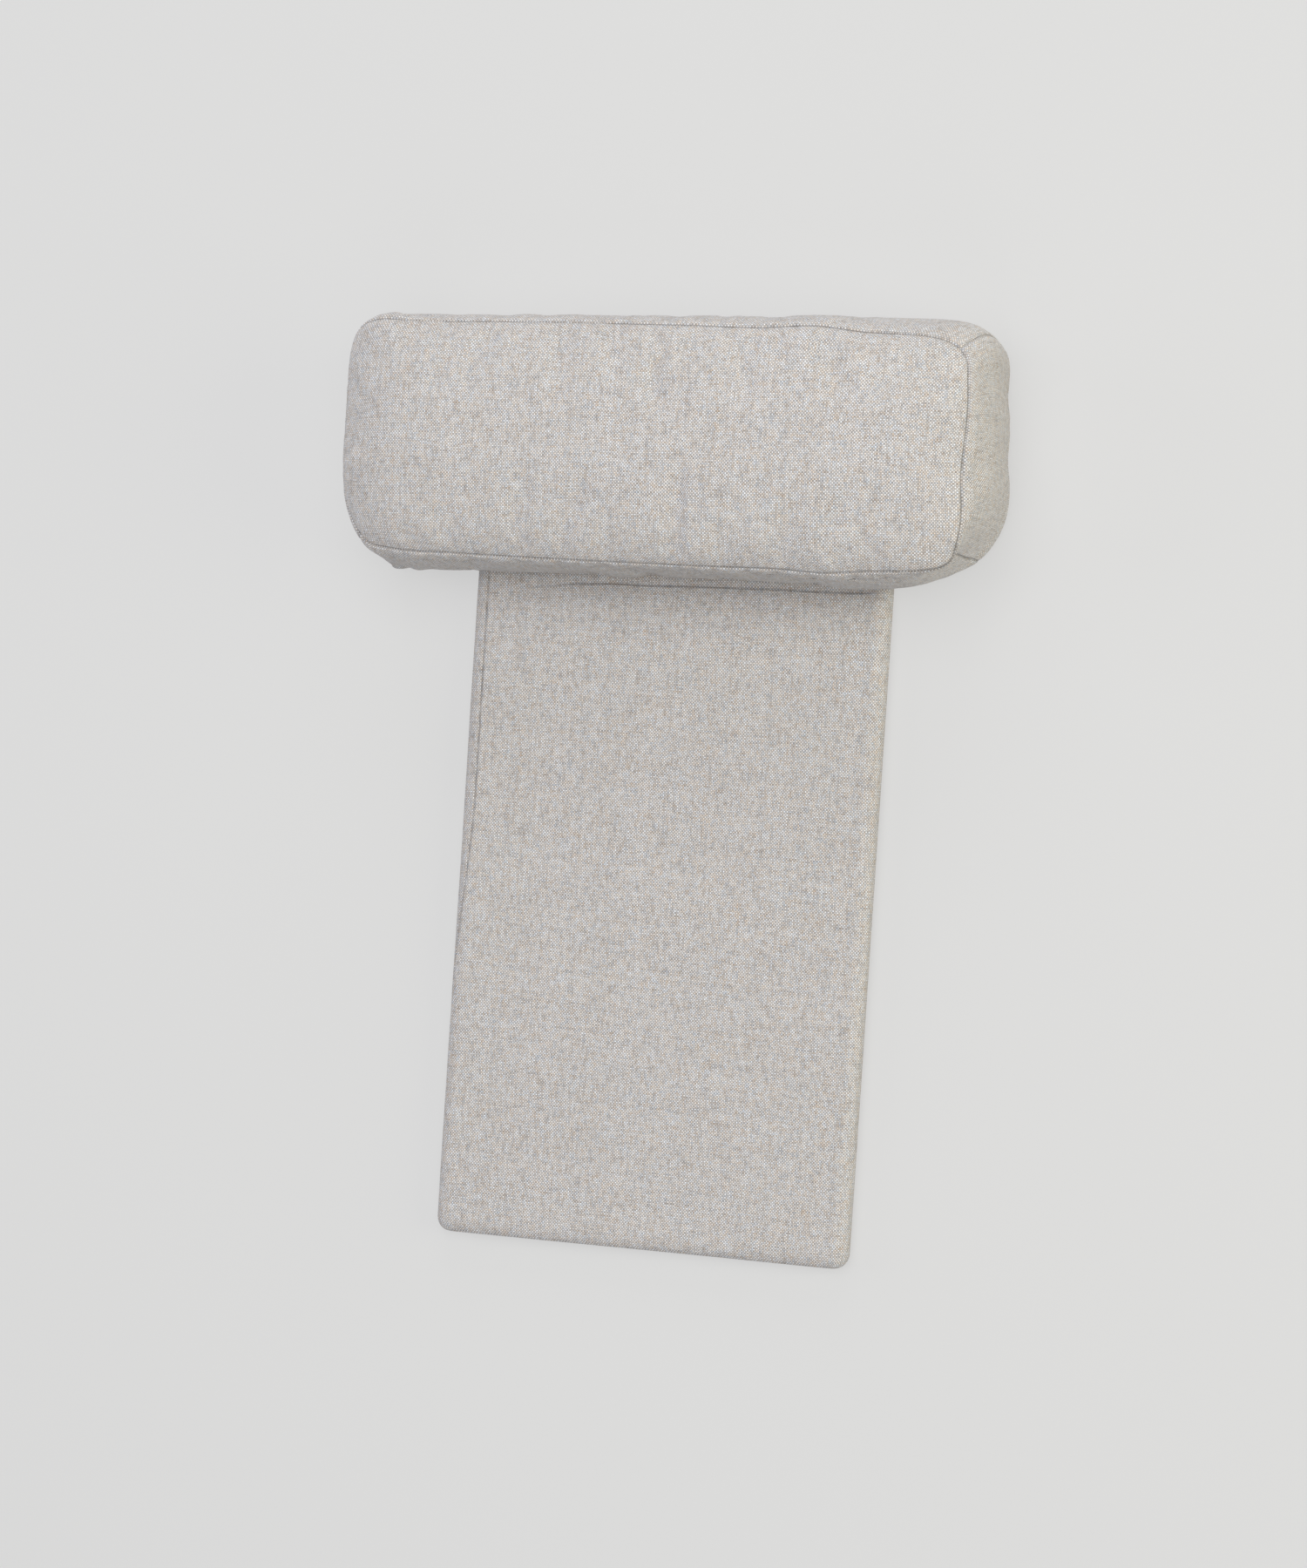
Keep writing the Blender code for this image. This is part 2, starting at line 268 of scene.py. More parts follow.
def woven_cloth(name):
    """Plain-weave melange upholstery cloth that reads the flat map "cloth", in millimetres."""
    material, tree, shader = new_material(name)
    flat = add_node(tree, "ShaderNodeUVMap", uv_map="cloth")
    wander = add_node(tree, "ShaderNodeTexNoise",
                      {"Vector": flat.outputs[0], "Scale": BENDS_PER_METRE * MM, "Detail": 0.0})
    shift = add_node(tree, "ShaderNodeVectorMath",
                     {0: wander.outputs["Color"], 1: (0.5, 0.5, 0.5)}, operation="SUBTRACT")
    moved = add_node(tree, "ShaderNodeVectorMath",
                     {0: shift.outputs[0], 1: (BEND_MM, BEND_MM, 0), 2: flat.outputs[0]},
                     operation="MULTIPLY_ADD")
    split = add_node(tree, "ShaderNodeSeparateXYZ", {"Vector": moved.outputs[0]})
    axes = []
    for channel, pitch in (("X", WARP_PITCH_MM), ("Y", WEFT_PITCH_MM)):
        count = add_node(tree, "ShaderNodeMath", {0: split.outputs[channel], 1: pitch},
                         operation="DIVIDE").outputs[0]
        number = add_node(tree, "ShaderNodeMath", {0: count}, operation="FLOOR").outputs[0]
        inside = add_node(tree, "ShaderNodeMath", {0: count}, operation="FRACT").outputs[0]
        arch = add_node(tree, "ShaderNodeMath", {0: inside, 1: np.pi}, operation="MULTIPLY").outputs[0]
        arch = add_node(tree, "ShaderNodeMath", {0: arch}, operation="SINE").outputs[0]
        axes.append((count, number, arch))
    (across, warp, warp_arch), (along, weft, weft_arch) = axes
    turn = add_node(tree, "ShaderNodeMath", {0: warp, 1: weft}, operation="ADD").outputs[0]
    over = add_node(tree, "ShaderNodeMath", {0: turn, 1: 2.0}, operation="FLOORED_MODULO").outputs[0]
    warp_look = yarn_colour(tree, warp, along, WARP_SEED)
    weft_look = yarn_colour(tree, weft, across, WEFT_SEED)
    seen = add_node(tree, "ShaderNodeMapRange",
                    {"Value": over, "To Min": UNDER_SHARE, "To Max": 1 - UNDER_SHARE})
    top = add_node(tree, "ShaderNodeMix", {0: seen.outputs[0], 6: warp_look, 7: weft_look},
                   data_type="RGBA")
    crossing = add_node(tree, "ShaderNodeCombineXYZ", {"X": warp, "Y": weft, "Z": 1.0})
    fibre = add_node(tree, "ShaderNodeTexWhiteNoise", {"Vector": crossing.outputs[0]})
    hue = add_node(tree, "ShaderNodeSeparateXYZ", {"Vector": fibre.outputs["Color"]})
    tint = add_node(tree, "ShaderNodeMix", {0: hue.outputs[0], 6: FIBRE_WARM, 7: FIBRE_COOL},
                    data_type="RGBA")
    mixed = add_node(tree, "ShaderNodeVectorMath", {0: top.outputs[2], 1: tint.outputs[2]},
                     operation="MULTIPLY")
    fleck = add_node(tree, "ShaderNodeMapRange", {
        "Value": fibre.outputs["Value"], "To Min": CROSSING_TONE[0], "To Max": CROSSING_TONE[1]})
    height = add_node(tree, "ShaderNodeMath", {0: warp_arch, 1: weft_arch},
                      operation="MULTIPLY").outputs[0]
    # Painted shade in the gaps between the yarns.
    painted_gap_shade = add_node(tree, "ShaderNodeMapRange",
                   {"Value": height, "From Max": 0.5, "To Min": GAP_SHADE, "To Max": 1.0})
    # The seam attribute holds painted shade for seam furrows and creases; it darkens the colour here.
    seam = add_node(tree, "ShaderNodeAttribute", attribute_name="seam")
    painted_seam_shade = add_node(tree, "ShaderNodeMapRange",
                    {"Value": seam.outputs["Fac"], "To Min": 1.0, "To Max": SEAM_SHADE})
    tone = add_node(tree, "ShaderNodeMapRange",
                    {"Value": over, "To Min": WARP_TONE, "To Max": WEFT_TONE})
    shade = painted_gap_shade.outputs[0]
    for other in (painted_seam_shade, tone, fleck):
        shade = add_node(tree, "ShaderNodeMath", {0: shade, 1: other.outputs[0]},
                         operation="MULTIPLY").outputs[0]
    colour = add_node(tree, "ShaderNodeVectorMath", {0: mixed.outputs[0], "Scale": shade},
                      operation="SCALE")
    bump = add_node(tree, "ShaderNodeBump",
                    {"Height": height, "Strength": 0.5, "Distance": YARN_HEIGHT})
    tree.links.new(colour.outputs[0], shader.inputs["Base Color"])
    tree.links.new(bump.outputs[0], shader.inputs["Normal"])
    for socket, value in CLOTH_FINISH.items():
        shader.inputs[socket].default_value = value
    return material


cushion_cloth = woven_cloth("cushion cover melange plain weave")
flap_cloth = woven_cloth("flap cover melange plain weave")
print("warp and weft yarns apart in mm:", WARP_PITCH_MM, WEFT_PITCH_MM)

# %% [markdown]
# Shapes as arrays. Each piece is a net of points, worked out as whole arrays: one direction goes
# round the piece and the other goes over it. A smooth noise makes the filling uneven, and small
# changes of height along the surface's own direction press in the seams.

# %% Array helpers
def bell(distance, width):
    """A bell curve: 1 at no distance, fading out over the width, exp(-(d/w)^2)."""
    return np.exp(-(distance / width) ** 2)


def rise(value, start, end):
    """A soft step from 0 at the start to 1 at the end, 3t^2 - 2t^3."""
    share = np.clip((value - start) / (end - start), 0, 1)
    return share * share * (3 - 2 * share)


def lattice_height(cell, seed):
    """A repeatable random number from -1 to 1 for each whole-number place.

    Each part of the place is multiplied by a large number and their bits are mixed, which
    scatters neighbours; 24 of the bits, over half their range and less 1, are the result.
    """
    scattered = cell[..., 0] * 73856093 ^ cell[..., 1] * 19349663 ^ cell[..., 2] * 83492791
    scattered = scattered ^ seed * 26544357
    scattered = (scattered ^ (scattered >> 13)) * 1274126177
    return (scattered >> 7 & 0xFFFFFF) / 0x7FFFFF - 1


def smooth_noise(points, size, seed):
    """Smooth noise from -1 to 1: random heights on a cubic lattice, blended with 3t^2 - 2t^3."""
    scaled = points / size
    cell = np.floor(scaled).astype(np.int64)
    part = scaled - cell
    part = part * part * (3 - 2 * part)
    total = np.zeros(points.shape[:-1])
    for corner in np.ndindex(2, 2, 2):
        weight = np.prod(np.where(corner, part, 1 - part), axis=-1)
        total += weight * lattice_height(cell + np.array(corner), seed)
    return total


def outward(points):
    """The outward direction at each point of a net that closes round its second axis."""
    over = np.gradient(points, axis=0)
    round_it = np.roll(points, -1, axis=1) - np.roll(points, 1, axis=1)
    normal = np.cross(over, round_it)
    length = np.linalg.norm(normal, axis=-1, keepdims=True)
    return normal / np.maximum(length, 1e-12)


def ramp(start, end, count):
    """Rows of even steps from one place to another, without the last, for each column."""
    share = np.arange(count)[:, None] / count
    return np.atleast_1d(start) + (np.atleast_1d(end) - np.atleast_1d(start)) * share


def pulled(points, pulls):
    """Move the points round each place by shift exp(-(d/reach)^2); each pull is given in mm."""
    for place, shift, reach in pulls:
        apart = np.linalg.norm(points / MM - np.array(place), axis=-1)
        points = points + bell(apart, reach)[..., None] * np.array(shift) * MM
    return points


# %% [markdown]
# From net to mesh. Neighbouring points of a net are joined to quads, and its last column is joined
# to the first. Where a net closes to a line or a point, the shared points are merged, so that no
# edge stays open. The flat map goes into a UV map and the painted shade of seam furrows and creases
# into an attribute, and the cloth reads both. One function does this for both covers.

# %% Make a piece from a net
# Every net has extra lines at these distances from a seam, so that its furrow can be thin.
BESIDE_SEAM = np.array([-5.0, -3.6, -2.5, -1.7, -1.1, -0.6, -0.25,
                        0.25, 0.6, 1.1, 1.7, 2.5, 3.6]) * MM
SEAM_EDGE = 5.0 * MM
MERGE_WITHIN = 0.001 * MM


def make_piece(name, points, flat_maps, seam, material):
    """Make an object from a net that closes round its second axis.

    flat_maps holds, for each quad of the net, the flat place in millimetres of its four corners.
    """
    rows, columns = points.shape[:2]
    index = np.arange(rows * columns).reshape(rows, columns)
    after = np.roll(index, -1, axis=1)
    quads = np.stack([index[:-1], index[1:], after[1:], after[:-1]], axis=-1).reshape(-1, 4)
    mesh = bpy.data.meshes.new(name)
    mesh.from_pydata(points.reshape(-1, 3).tolist(), [], quads.tolist())
    layer = mesh.uv_layers.new(name="cloth")
    layer.data.foreach_set("uv", flat_maps.reshape(-1, 2).astype(np.float32).ravel())
    # The seam attribute holds painted shade for seam furrows and creases, which darkens the cloth.
    painted_shade_layer = mesh.attributes.new("seam", "FLOAT", "POINT")
    painted_shade_layer.data.foreach_set("value", seam.astype(np.float32).ravel())
    net = bmesh.new()
    net.from_mesh(mesh)
    bmesh.ops.remove_doubles(net, verts=net.verts, dist=MERGE_WITHIN)
    net.to_mesh(mesh)
    net.free()
    mesh.shade_smooth()
    mesh.materials.append(material)
    piece = bpy.data.objects.new(name, mesh)
    bpy.context.collection.objects.link(piece)
    edge_of_loop = np.empty(len(mesh.loops), dtype=np.int32)
    mesh.loops.foreach_get("edge_index", edge_of_loop)
    open_edges = int((np.bincount(edge_of_loop, minlength=len(mesh.edges)) != 2).sum())
    print(name, "has", len(mesh.polygons), "faces and", open_edges, "open edges")
    return piece


# %% [markdown]
# The cushion. A maker cuts six panels: front, back, top strip, bottom strip and two ends. Filled,
# they swell between their seams into a soft box. So three closed loops give its shape: the front
# seam, the widest line and the back seam. Each loop is a box seen from the front, with straight
# runs, and its corners are superellipses, |x|^n + |y|^n = 1, where a higher n is squarer. The
# filling is uneven, as in a used cushion, so each corner has its own n and each side its inset.

# %% Cushion sizes
cushion_low, cushion_high = (np.array(corner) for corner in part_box("cushion"))
CUSHION_HEIGHT = 175 * MM
CUSHION_WIDTH = cushion_high[0] - cushion_low[0]
CROWN_HEIGHT = cushion_high[2] - cushion_low[2]
HIGHEST_RISE = 0.8 * MM
CUSHION_CENTRE_Y = cushion_high[1] - HIGHEST_RISE - CUSHION_HEIGHT / 2
HALF_HEIGHT = CUSHION_HEIGHT / 2
STRAIGHT = CUSHION_WIDTH / 2 - HALF_HEIGHT
HINGE_SLOPE = 0.010
CUSHION_TAPER = 0.045
NET_STEP = 2.6 * MM
print("cushion in mm:", np.round((cushion_high - cushion_low) / MM, 1))

# In mm. Corners and long sides: top right, top left, bottom right, bottom left. Ends: right,
# left. Bow: how far the middle of the top and bottom side lies further in than their ends.
# Height: top, bottom, right, left.
CORNERS = [("top", "right"), ("top", "left"), ("bottom", "right"), ("bottom", "left")]
FRONT_SEAM = dict(fullness=(4.8, 8.5, 6.0, 3.5), side=(15.5, 11.5, 5.2, 8.3), end=(15.8, 3.5),
                  bow=(-1.7, -1.7), height=(110, 104.5, 113, 99), dip=3)
WIDEST = dict(fullness=(6.5, 7.2, 2.5, 4.8), side=(-0.5, 2.0, -2.9, 0.1), end=(3.0, 3.0),
              bow=(0, 2.6), height=(62, 58, 65, 60), dip=0)
BACK_SEAM = dict(fullness=(6.0, 6.0, 4.0, 9.0), side=(8, 8, 11.5, 7), end=(8, 14),
                 bow=(0, 0), height=(14, 14, 14, 14), dip=0)

# %% Cushion loops
def corner_of_loop(loop, corner, turn):
    """A corner from its end to its long side: x = reach cos^(2/n), y = reach sin^(2/n).

    Its height blends from the end's to the side's, less a dip of d sin^2(2t) at the corner.
    """
    number = CORNERS.index(corner)
    long_side, end = corner
    power = 2 / loop["fullness"][number]
    across = (1 if end == "right" else -1) * np.clip(np.cos(turn), 0, 1) ** power
    along = (1 if long_side == "top" else -1) * np.sin(turn) ** power
    high = loop["height"][2 + (end == "left")] * np.cos(turn) ** 2
    high = high + loop["height"][long_side == "bottom"] * np.sin(turn) ** 2
    high = high - loop["dip"] * np.sin(2 * turn) ** 2
    reach_x = HALF_HEIGHT - loop["end"][end == "left"] * MM
    reach_y = HALF_HEIGHT - loop["side"][number] * MM
    return np.stack([across * reach_x, along * reach_y, high * MM], axis=-1)


def side_of_loop(loop, long_side, x):
    """A straight run: its inset blends from end to end, with a bow of 4 b s (1 - s)."""
    right_share = (x / STRAIGHT + 1) / 2
    number = 2 * (long_side == "bottom")
    inset = loop["side"][number] * right_share + loop["side"][number + 1] * (1 - right_share)
    inset = inset + 4 * loop["bow"][long_side == "bottom"] * right_share * (1 - right_share)
    along = (1 if long_side == "top" else -1) * (HALF_HEIGHT - inset * MM)
    return np.stack([0 * x, along, 0 * x + loop["height"][long_side == "bottom"] * MM], axis=-1)


def travelled(points, axis=0):
    """Length so far along each line of points."""
    steps = np.linalg.norm(np.diff(points, axis=axis), axis=-1)
    start = np.zeros_like(np.take(steps, [0], axis=axis))
    return np.concatenate([start, np.cumsum(steps, axis=axis)], axis=axis)


MEASURED_TURNS = 6000


def corner_turns(loop, corner):
    """Turns that step evenly along a corner, with extra ones beside the corner seam at 45 degrees.

    A square corner runs nearly all its length at the start and the end of its turn, so the
    turns that measure it crowd there, as sin^4 does.
    """
    turn = np.sin(np.linspace(0, np.pi / 2, MEASURED_TURNS)) ** 4 * np.pi / 2
    length = travelled(corner_of_loop(loop, corner, turn))
    seam = np.interp(np.pi / 4, turn, length)
    widest_turn = np.linspace(0, np.pi / 2, MEASURED_TURNS // 2)
    widest_length = travelled(corner_of_loop(WIDEST, corner, widest_turn))
    widest_seam = np.interp(np.pi / 4, widest_turn, widest_length)
    before = round(widest_seam / NET_STEP) - 2
    after = round((widest_length[-1] - widest_seam) / NET_STEP) - 2
    places = np.concatenate([
        np.linspace(0, seam - SEAM_EDGE, before, endpoint=False), seam + BESIDE_SEAM,
        np.linspace(seam + SEAM_EDGE, length[-1], after),
    ])
    return np.interp(places, length, turn)


side_x = np.linspace(STRAIGHT, -STRAIGHT, round(2 * STRAIGHT / NET_STEP))[1:-1]
top_right, top_left, bottom_right, bottom_left = CORNERS


def corner_columns_of(loop, corner):
    """A loop's points at a corner, from its end to its long side."""
    return corner_of_loop(loop, corner, corner_turns(loop, corner))


def whole_loop(loop):
    """The loop counterclockwise, from the right end of the bottom side."""
    return np.concatenate([
        corner_columns_of(loop, bottom_right)[::-1], corner_columns_of(loop, top_right)[1:],
        side_of_loop(loop, "top", side_x),
        corner_columns_of(loop, top_left)[::-1], corner_columns_of(loop, bottom_left)[1:],
        side_of_loop(loop, "bottom", side_x[::-1]),
    ])


front_loop, widest_loop, back_loop = (whole_loop(loop) for loop in (FRONT_SEAM, WIDEST, BACK_SEAM))
round_order = (bottom_right, top_right, top_left, bottom_left)
count = [corner_turns(WIDEST, corner).size for corner in round_order]
core = np.concatenate([np.full(count[0] + count[1] - 1, STRAIGHT), side_x,
                       np.full(count[2] + count[3] - 1, -STRAIGHT), side_x[::-1]])
seam_first = [np.searchsorted(corner_turns(WIDEST, corner), np.pi / 4) for corner in CORNERS]
corner_columns = np.array([
    count[0] - seam_first[2], count[0] - 1 + seam_first[0],
    count[0] + count[1] - 1 + side_x.size + count[2] - seam_first[1],
    count[0] + count[1] + side_x.size + count[2] - 2 + seam_first[3],
])
print("cushion net:", core.size, "columns, corner seams before columns", corner_columns)

# %% [markdown]
# Between the loops the cloth swells. A quarter of a superellipse carries each panel from one loop
# to the next: sin^(2/n) says how far it has moved out, and cos^(2/n) how far it has yet to fall.
# The face starts level at its middle and arrives steeply at the seam, as stuffed cloth does.
# A small crease runs along the right half of the bottom strip, 12 mm from the front seam, and the
# net has extra rows there as it has beside each seam.

# %% Cushion profiles
FACE_FULLNESS = 2.3
SIDE_FULLNESS = 2.2
BACK_FULLNESS = 2.6
FACE_TURN = 1.36
STRIP_START = 0.5
BACK_ROUNDED_SHARE = 0.25


def cushion_profiles(steps):
    """Every column from the face's middle to the back's middle, as core-relative x, y and height."""
    turn = np.linspace(0, FACE_TURN, steps, endpoint=False)[:, None, None]
    out = (np.sin(turn) / np.sin(FACE_TURN)) ** (2 / FACE_FULLNESS)
    last = np.cos(FACE_TURN) ** (2 / FACE_FULLNESS)
    left_to_fall = (np.cos(turn) ** (2 / FACE_FULLNESS) - last) / (1 - last)
    plan, high = slice(0, 2), slice(2, 3)
    face = [front_loop[:, plan] * out,
            front_loop[:, high] + (CROWN_HEIGHT - front_loop[:, high]) * left_to_fall]
    turn = np.linspace(STRIP_START, np.pi / 2, steps, endpoint=False)[:, None, None]
    first = np.sin(STRIP_START) ** (2 / SIDE_FULLNESS)
    sine = (np.sin(turn) ** (2 / SIDE_FULLNESS) - first) / (1 - first)
    cosine = (np.cos(turn) / np.cos(STRIP_START)) ** (2 / SIDE_FULLNESS)
    upper = [front_loop[:, plan] + (widest_loop - front_loop)[:, plan] * sine,
             widest_loop[:, high] + (front_loop - widest_loop)[:, high] * cosine]
    turn = np.linspace(0, np.pi / 2, steps, endpoint=False)[:, None, None]
    sine, cosine = np.sin(turn) ** (2 / SIDE_FULLNESS), np.cos(turn) ** (2 / SIDE_FULLNESS)
    lower = [back_loop[:, plan] + (widest_loop - back_loop)[:, plan] * cosine,
             widest_loop[:, high] + (back_loop - widest_loop)[:, high] * sine]
    in_back = 1 - BACK_ROUNDED_SHARE * (1 - np.cos(turn) ** (2 / BACK_FULLNESS))
    back = [back_loop[:, plan] * in_back,
            back_loop[:, high] * (1 - np.sin(turn) ** (2 / BACK_FULLNESS))]
    middle = [back_loop[None, :, plan] * np.array([1 - BACK_ROUNDED_SHARE, 0])[:, None, None],
              np.zeros((2, core.size, 1))]
    parts = [np.concatenate(part, axis=-1) for part in (face, upper, lower, back, middle)]
    return np.concatenate(parts)


def in_place(net):
    """Put the core back, narrow the cushion to the right, and follow the hinge's slope."""
    x = core + net[..., 0]
    y = CUSHION_CENTRE_Y + net[..., 1] * (1 - CUSHION_TAPER * x) + HINGE_SLOPE * x
    return np.stack([x, y, net[..., 2]], axis=-1)


# %% Cushion net
PROFILE_STEPS = 90
STRIP_CREASE_AT = 12 * MM
BESIDE_CREASE = np.array([-1.4, -0.9, -0.5, -0.2, 0.1, 0.4, 0.8, 1.3]) * MM
CREASE_EDGE = 2 * MM
# Rows of the net on the face, on the strip before and past its crease, and on the back.
FACE_ROWS, STRIP_ROWS_BEFORE, STRIP_ROWS_PAST, BACK_ROWS = 40, 5, 34, 32
profiles = in_place(cushion_profiles(PROFILE_STEPS))
profile_length = travelled(profiles)
front_seam = profile_length[PROFILE_STEPS]
back_seam = profile_length[3 * PROFILE_STEPS]
over = np.concatenate([
    ramp(0 * front_seam, front_seam - SEAM_EDGE, FACE_ROWS),
    front_seam + BESIDE_SEAM[:, None],
    ramp(front_seam + SEAM_EDGE, front_seam + STRIP_CREASE_AT - CREASE_EDGE, STRIP_ROWS_BEFORE),
    front_seam + STRIP_CREASE_AT + BESIDE_CREASE[:, None],
    ramp(front_seam + STRIP_CREASE_AT + CREASE_EDGE, back_seam - SEAM_EDGE, STRIP_ROWS_PAST),
    back_seam + BESIDE_SEAM[:, None],
    ramp(back_seam + SEAM_EDGE, profile_length[-1], BACK_ROWS),
    profile_length[-1:],
])


def along_columns(places, length, values):
    """Values at places along each column, with every column in one call, laid end to end."""
    apart = np.arange(length.shape[1]) * (length.max() + 1)
    flat = np.interp((places + apart).T.ravel(), (length + apart).T.ravel(), values.T.ravel())
    return flat.reshape(places.shape[::-1]).T


cushion_points = np.stack(
    [along_columns(over, profile_length, profiles[..., part]) for part in range(3)], axis=-1)
print("cushion net:", over.shape[0], "rows over it")

# %% [markdown]
# Uneven filling. The strips' corner seams hold the cloth back, most at the lower right, so each
# panel swells on its own. The lower left back corner stands out as a point, where three panels
# meet. The right end is fuller low down and has a small dent higher up.

# %% Cushion unevenness
# Pulls and point shifts are in mm, for each corner in the order of CORNERS.
CORNER_PULL = (1.5, 1.5, 2.0, 1.0)
CORNER_PULL_WIDTH = 13.8 * MM
CORNER_PULL_FADE = 1.3
STRIP_FADE = 14 * MM
POINT_SHIFT = ((1.5, 2.0), (-1.5, 2.0), (1.0, -1.0), (-4.2, -9.0))
POINT_WIDTH = 11 * MM
POINT_TOP = 65 * MM
POINT_FULL_AT = 20 * MM
POINT_FOOT = 8 * MM
# Each is a size, a place along the end and a width.
END_SWELL = (4.0 * MM, 200 * MM, 28 * MM)
END_DENT = (-2.4 * MM, 280 * MM, 13 * MM)
RIGHT_END_FROM = 205 * MM
RIGHT_END_BLEND = 10 * MM
# Each line: a place, how far the cloth is shifted there and how far round it, in mm.
CUSHION_PULLS = [
    ((105, 306, 107), (0, 3.0, 0), 26), ((-195, 316, 104), (0, 2.4, 0), 14),
    ((213, 212, 108), (-3.6, 0, 0), 24), ((211, 290, 110), (1.5, 0, 0), 20),
    ((122, 160, 104), (0, -2.4, 0), 24), ((-203, 156, 99), (0.5, -3.2, 0), 14),
    ((-33, 146, 52), (0, -1.8, 0), 15), ((125, 146, 52), (0, -1.6, 0), 15),
    ((140, 146, 50), (0, 1.6, 0), 7), ((-183, 145, 50), (0, -1.8, 0), 6.5),
    ((-146, 146, 45), (0, 1.6, 0), 20), ((200, 160, 106), (2.4, -0.6, -2.0), 12),
]

from_front = over - front_seam
from_back = over - back_seam
between = rise(from_front, -1 * MM, 1 * MM) * rise(-from_back, -1 * MM, 1 * MM)
on_strip = rise(from_front, 0, STRIP_FADE) * rise(-from_back, 0, STRIP_FADE)
round_steps = np.linalg.norm(np.roll(cushion_points, -1, axis=1) - cushion_points, axis=-1)
round_it = np.concatenate([np.zeros((over.shape[0], 1)), np.cumsum(round_steps, axis=1)], axis=1)
heading = widest_loop[:, :2] / np.linalg.norm(widest_loop[:, :2], axis=-1, keepdims=True)
heading = np.concatenate([heading, np.zeros((core.size, 1))], axis=-1)
from_corner = np.full(over.shape, 1.0)
net_corners = [CORNERS.index(corner) for corner in round_order]
low_part = np.clip((POINT_TOP - cushion_points[..., 2]) / (POINT_TOP - POINT_FULL_AT), 0, 1)
low_part = low_part * np.clip(cushion_points[..., 2] / POINT_FOOT, 0, 1)
moved = np.zeros_like(cushion_points)
for column, corner in zip(corner_columns, net_corners):
    distance = round_it[:, :-1] - (round_it[:, column - 1] + round_it[:, column])[:, None] / 2
    from_corner = np.where(np.abs(distance) < np.abs(from_corner), distance, from_corner)
    near = np.exp(-(np.abs(distance) / CORNER_PULL_WIDTH) ** CORNER_PULL_FADE)
    pull = CORNER_PULL[corner] * MM * near * on_strip
    moved -= pull[..., None] * heading
    point = bell(distance, POINT_WIDTH) * low_part
    moved += point[..., None] * np.array([*POINT_SHIFT[corner], 0]) * MM

on_right_end = np.clip((cushion_points[..., 0] - RIGHT_END_FROM) / RIGHT_END_BLEND, 0, 1)
for size, place, width in (END_SWELL, END_DENT):
    moved[..., 0] += size * bell(cushion_points[..., 1] - place, width) * on_right_end
cushion_points = pulled(cushion_points + moved, CUSHION_PULLS)
print("largest move in mm:", round(float(np.abs(moved).max() / MM), 1))

# %% [markdown]
# The cloth. A cover is cut a little larger than its seams would need, and the filling presses it
# out, so small soft folds start at every seam. Blender's Cloth gives them: a coarser net of the
# same cushion is held along its seams, its cloth is given some slack, and pressure fills it. Its
# broad swelling is already in the measured shape, so that part, the average along each seam, is
# taken off again, and the rest, the folds, is laid over the fine net with a smooth cubic blend.

# %% Cloth simulation helpers
CLOTH_FRAMES = 20
SAME_PLACE = 0.01 * MM


def cloth_net(points):
    """A mesh object of a closed net, its shared points merged, and each net point's mesh index."""
    places = np.round(points.reshape(-1, 3) / SAME_PLACE).astype(np.int64)
    kept, index = np.unique(places, axis=0, return_inverse=True)
    index = index.reshape(points.shape[:2])
    after = np.roll(index, -1, axis=1)
    quads = np.stack([index[:-1], index[1:], after[1:], after[:-1]], axis=-1).reshape(-1, 4)
    first_same, last_same = quads[:, 0] == quads[:, 3], quads[:, 1] == quads[:, 2]
    faces = quads[~first_same & ~last_same].tolist()
    faces += quads[first_same & ~last_same][:, :3].tolist()
    faces += quads[last_same & ~first_same][:, [0, 1, 3]].tolist()
    mesh = bpy.data.meshes.new("cover under pressure")
    mesh.from_pydata((kept * 0.01 * MM).tolist(), [], faces)
    helper = bpy.data.objects.new("cover under pressure", mesh)
    bpy.context.collection.objects.link(helper)
    return helper, index


def filled_cover(points, held, slack, pressure):
    """Run Cloth on a net, held where the weights say, and return how far each point moved."""
    helper, index = cloth_net(points)
    group = helper.vertex_groups.new(name="held")
    weight = np.zeros(len(helper.data.vertices))
    np.maximum.at(weight, index.ravel(), held.ravel())
    for level in np.unique(weight):
        group.add(np.flatnonzero(weight == level).tolist(), float(level), "REPLACE")
    cloth = helper.modifiers.new("cloth", "CLOTH")
    settings = cloth.settings
    settings.quality = 6
    settings.bending_stiffness = 0.2
    settings.shear_stiffness = 3
    settings.effector_weights.gravity = 0
    settings.use_pressure = True
    settings.uniform_pressure_force = pressure
    settings.shrink_min = -slack
    settings.vertex_group_mass = "held"
    cloth.point_cache.frame_start = 1
    cloth.point_cache.frame_end = CLOTH_FRAMES
    scene = bpy.context.scene
    for moment in range(1, CLOTH_FRAMES + 1):
        scene.frame_set(moment)
    shaped = helper.evaluated_get(bpy.context.evaluated_depsgraph_get()).data
    after = np.empty(len(shaped.vertices) * 3)
    shaped.vertices.foreach_get("co", after)
    before = np.empty(len(shaped.vertices) * 3)
    helper.data.vertices.foreach_get("co", before)
    moved = (after - before).reshape(-1, 3)[index]
    mesh = helper.data
    bpy.data.objects.remove(helper)
    bpy.data.meshes.remove(mesh)
    scene.frame_set(1)
    return moved


def cubic_weights(part):
    """The four weights of a Catmull-Rom blend for a part of a step."""
    return np.stack([
        -0.5 * part + part ** 2 - 0.5 * part ** 3, 1 - 2.5 * part ** 2 + 1.5 * part ** 3,
        0.5 * part + 2 * part ** 2 - 1.5 * part ** 3, -0.5 * part ** 2 + 0.5 * part ** 3,
    ])


